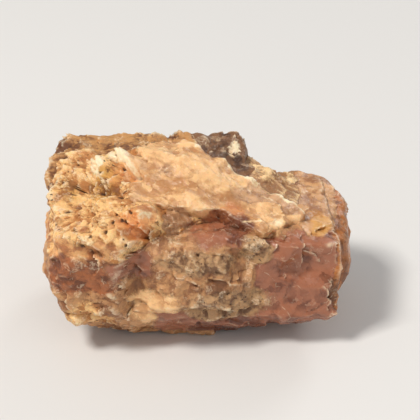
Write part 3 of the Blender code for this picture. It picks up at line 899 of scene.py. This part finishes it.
def blendNumbers(tree, factor, first, second):
    node = addNode(tree, "ShaderNodeMix", data_type="FLOAT")
    for socket, value in ((node.inputs[0], factor), (node.inputs[2], first), (node.inputs[3], second)):
        connect(tree, socket, value)
    return node.outputs[0]


def attribute(tree, name):
    return addNode(tree, "ShaderNodeAttribute", attribute_name=name).outputs["Fac"]


def vectorStep(tree, operation, first, second, output=0):
    node = addNode(tree, "ShaderNodeVectorMath", operation=operation)
    connect(tree, node.inputs[0], first)
    connect(tree, node.inputs["Scale"] if operation == "SCALE" else node.inputs[1], second)
    return node.outputs[output]


def drawnWhere(tree, where, direction, factor):
    # p - (1 - factor) (p . line) line: a texture on it is drawn out along the line
    line = tuple(unit(direction).tolist())
    along = vectorStep(tree, "DOT_PRODUCT", where, line, "Value")
    back = vectorStep(tree, "SCALE", line, weighted(tree, along, 1 - factor))
    return vectorStep(tree, "SUBTRACT", where, back)


def cellTexture(tree, where, size, feature="F1"):
    # cells of about the given size in millimetres
    cells = addNode(tree, "ShaderNodeTexVoronoi", feature=feature)
    cells.inputs["Scale"].default_value = 1 / size
    tree.links.new(where, cells.inputs["Vector"])
    return cells


def cellRandoms(tree, where, size):
    # three random numbers for each small crystal face
    cells = cellTexture(tree, where, size)
    parts = addNode(tree, "ShaderNodeSeparateColor")
    tree.links.new(cells.outputs["Color"], parts.inputs[0])
    return parts.outputs[:3]


def darkPores(tree, where, size, width):
    # small round spots: 1 in the middle of a cell, 0 beyond the width
    cells = cellTexture(tree, where, size)
    return remap(tree, cells.outputs["Distance"], 0.5 * width, width, 1.0, 0.0)


def flawLines(tree, where, size, width):
    # thin lines where two large cells meet: 1 on the line, 0 beyond its width
    cells = cellTexture(tree, where, size, "DISTANCE_TO_EDGE")
    return remap(tree, cells.outputs["Distance"], 0.0, width, 1.0, 0.0)


def shadePatterns(tree, where):
    # one noise for each look, on coordinates drawn out its way; veined is half streaky and half cloud
    patterns = {}
    for name, (way, share, scale, detail, roughness, distortion) in patternLooks.items():
        spread = drawnWhere(tree, where, stone[way], share) if way else where
        patterns[name] = noiseTexture(tree, spread, scale, detail, roughness, distortion)
    patterns["veined"] = blendNumbers(tree, 0.5, patterns["streaky"], patterns["cloud"])
    return patterns


def tinted(tree, colour, amount, shade):
    return blendColours(tree, amount, colour, screenColour(*surface[shade]))


def stoneMaterial():
    # every texture works in millimetres of the stone's own coordinates
    material = bpy.data.materials.new("moonstoneFinish")
    material.use_nodes = True
    tree = material.node_tree
    shader = tree.nodes["Principled BSDF"]
    where = vectorStep(tree, "SCALE", addNode(tree, "ShaderNodeTexCoord").outputs["Object"], 1 / mm)
    wander = noiseTexture(tree, where, *surface["wanderNoise"], output="Color")
    loose = vectorStep(tree, "ADD", where, wander)
    patterns = shadePatterns(tree, where)
    grain = noiseTexture(tree, where, *surface["grainNoise"])
    ragged = calculate(tree, "SUBTRACT", noiseTexture(tree, where, *surface["raggedNoise"]), 0.5)
    facetShade, facetGloss, facetFleck = cellRandoms(tree, loose, surface["facetSize"])

    # the shade within a finish: low places and dark facets are deep, raised places light
    uneven = weighted(tree, calculate(tree, "SUBTRACT", facetShade, 0.5), surface["facetShare"])
    low = weighted(tree, calculate(tree, "SUBTRACT", 0.5, attribute(tree, "raised")), surface["lowShare"])
    shades = {}
    for name, pattern in patterns.items():
        shades[name] = remap(tree, added(tree, pattern, uneven, low), *ramps["shade"])
    light, deep, roughness, grainy, pattern = bodyFinish
    colour = blendColours(tree, shades[pattern], screenColour(*light), screenColour(*deep))
    clear = 0.0
    for name, (light, deep, rough, strong, pattern, soft) in finishes.items():
        amount = attribute(tree, name)
        edge = added(tree, amount, weighted(tree, ragged, surface["edgeNoise"]))
        mask = remap(tree, edge, surface["borderLevel"] - soft / 2, surface["borderLevel"] + soft / 2)
        mask = calculate(tree, "MULTIPLY", mask, remap(tree, amount, *ramps["amount"]))
        paint = blendColours(tree, shades[pattern], screenColour(*light), screenColour(*deep))
        colour = blendColours(tree, mask, colour, paint)
        roughness = blendNumbers(tree, mask, roughness, rough)
        grainy = blendNumbers(tree, mask, grainy, strong)
        clear = blendNumbers(tree, mask, clear, 1.0 if rough < surface["clearRoughness"] else 0.0)

    # thin pale fracture lines in the clear parts, broken up by noise
    straight = vectorStep(tree, "ADD", where, vectorStep(tree, "SCALE", wander, surface["flawWander"]))
    flaws = flawLines(tree, straight, surface["flawSize"], surface["flawWidth"])
    flaws = calculate(tree, "MULTIPLY", flaws, remap(tree, patterns["mottle"], *ramps["flawBreaks"]))
    flaws = calculate(tree, "MULTIPLY", flaws, weighted(tree, clear, surface["flawStrength"]))
    colour = tinted(tree, colour, flaws, "paleMarkAndEdgeHighlight")
    # single pale and dark flecks; the pale ones are partly pale crystal flakes and partly painted glints
    pale = remap(tree, facetFleck, *ramps["paleFleck"])
    pale = calculate(tree, "MULTIPLY", pale, remap(tree, grain, *ramps["paleGrain"]))
    paleShare = added(tree, weighted(tree, grainy, surface["paleGrainy"]), surface["paleLeast"])
    pale = calculate(tree, "MULTIPLY", pale, paleShare)
    colour = tinted(tree, colour, pale, "paleMarkAndEdgeHighlight")
    dark = remap(tree, facetFleck, *ramps["darkFleck"])
    dark = calculate(tree, "MULTIPLY", dark, remap(tree, grain, *ramps["darkGrain"]))
    dark = calculate(tree, "MULTIPLY", dark, grainy)
    colour = tinted(tree, colour, weighted(tree, dark, surface["darkGrainy"]), "darkFleckAndHollowShade")

    # painted shade darkens the hollows and a painted highlight lightens thin edges, and dirt lies in the
    # pits and the pores of the crust
    hollow = added(tree, attribute(tree, "hollow"), weighted(tree, ragged, surface["hollowRagged"]))
    colour = tinted(tree, colour, remap(tree, hollow, *ramps["hollow"]), "darkFleckAndHollowShade")
    colour = tinted(tree, colour, remap(tree, hollow, *ramps["crest"]), "paleMarkAndEdgeHighlight")
    pores = darkPores(tree, loose, surface["poreSize"], surface["poreWidth"])
    pores = calculate(tree, "MULTIPLY", pores, remap(tree, patterns["cloud"], *ramps["poreBreaks"]))
    pores = calculate(tree, "MULTIPLY", pores, remap(tree, grainy, *ramps["poreGrainy"]))
    dirt = calculate(tree, "MAXIMUM", attribute(tree, "dirt"), pores)
    dirt = added(tree, dirt, weighted(tree, ragged, surface["dirtRagged"]))
    colour = tinted(tree, colour, remap(tree, dirt, *ramps["dirt"]), "dirtShade")

    # the finest grain makes the colour uneven, also in gloss and in height
    tone = addNode(tree, "ShaderNodeCombineColor")
    for socket in tone.inputs:
        tree.links.new(remap(tree, grain, *ramps["tone"]), socket)
    grained = blendColours(tree, 1.0, colour, tone.outputs[0], "MULTIPLY")
    colour = blendColours(tree, weighted(tree, grainy, surface["toneShare"]), colour, grained)
    tree.links.new(colour, shader.inputs["Base Color"])
    polish = remap(tree, facetGloss, *ramps["polish"])
    dulled = weighted(tree, dirt, surface["dirtDulls"])
    tree.links.new(added(tree, roughness, polish, dulled), shader.inputs["Roughness"])

    parts = {"mottle": patterns["mottle"], "grain": grain, "facets": facetShade, "pores": pores}
    layers = [weighted(tree, parts[name], share) for name, share in surface["bumpShares"].items()]
    height = calculate(tree, "MULTIPLY", added(tree, *layers), added(tree, grainy, surface["bumpLeast"]))
    bump = addNode(tree, "ShaderNodeBump")
    bump.inputs["Strength"].default_value = surface["bumpStrength"]
    bump.inputs["Distance"].default_value = surface["bumpHeight"]
    tree.links.new(height, bump.inputs["Height"])
    tree.links.new(bump.outputs["Normal"], shader.inputs["Normal"])
    shader.inputs["IOR"].default_value = surface["refraction"]
    shader.inputs["Subsurface Weight"].default_value = surface["subsurface"]
    shader.inputs["Subsurface Radius"].default_value = surface["subsurfaceRadius"]
    shader.inputs["Subsurface Scale"].default_value = surface["subsurfaceScale"]
    return material


rough = makeStone()
rough.data.materials.append(stoneMaterial())
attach(rough, "root")
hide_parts("moonstone")
print("stone finished")

floor = {"width": 3.0, "drop": 0.00002, "colour": (226, 225, 224), "roughness": 0.6}


def makeFloor():
    # a flat square, z = -drop over u, v in -1 to 1 times half the width
    half = floor["width"] / 2
    corners = [(-half, -half), (half, -half), (half, half), (-half, half)]
    mesh = bpy.data.meshes.new("paleFloor")
    mesh.from_pydata([(x, y, -floor["drop"]) for x, y in corners], [], [(0, 1, 2, 3)])
    material = bpy.data.materials.new("paleFloor")
    material.use_nodes = True
    shader = material.node_tree.nodes["Principled BSDF"]
    shader.inputs["Base Color"].default_value = screenColour(*floor["colour"])
    shader.inputs["Roughness"].default_value = floor["roughness"]
    mesh.materials.append(material)
    return addObject("paleFloor", mesh)


makeFloor()

# Soft studio lights: place in metres, width, power in watts and colour
lights = {
    "key": ((-0.20, -0.12, 0.38), 0.10, 1.55, (1.0, 0.96, 0.9)),
    "fill": ((0.34, -0.26, 0.22), 0.36, 0.3, (1.0, 0.98, 0.95)),
    "back": ((0.22, 0.34, 0.26), 0.16, 0.4, (1.0, 0.99, 0.97)),
}
daylight = {"colour": (1.0, 0.995, 0.985), "strength": 0.35, "lampsAimAt": (0, 0, 0.01)}


def makeLights():
    for name, (place, width, power, colour) in lights.items():
        lamp = bpy.data.lights.new(name, "AREA")
        lamp.size = width
        lamp.energy = power
        lamp.color = colour
        made = addObject(name, lamp)
        made.location = place
        towards = Vector(daylight["lampsAimAt"]) - Vector(place)
        made.rotation_euler = towards.to_track_quat("-Z", "Y").to_euler()
    world = bpy.data.worlds.new("studio")
    bpy.context.scene.world = world
    world.use_nodes = True
    sky = world.node_tree.nodes["Background"]
    sky.inputs["Color"].default_value = (*daylight["colour"], 1)
    sky.inputs["Strength"].default_value = daylight["strength"]


makeLights()

# The photograph's view: 0.2 m away, looking 33.4 degrees down along +Y
camera = {
    "place": (0.0014, -0.1665, 0.1234),
    "pitch": 33.4,  # degrees below the level
    "lens": 145.2,
    "sensor": 36.0,
    "nearest": 0.01,
    "farthest": 10.0,
}


def makeCamera():
    lens = bpy.data.cameras.new("view")
    lens.lens = camera["lens"]
    lens.sensor_width = camera["sensor"]
    lens.clip_start = camera["nearest"]
    lens.clip_end = camera["farthest"]
    made = addObject("view", lens)
    made.location = camera["place"]
    made.rotation_euler = (math.radians(90 - camera["pitch"]), 0, 0)
    bpy.context.scene.camera = made


makeCamera()
bpy.context.scene.view_settings.view_transform = "Standard"
print("floor, lights and camera ready")
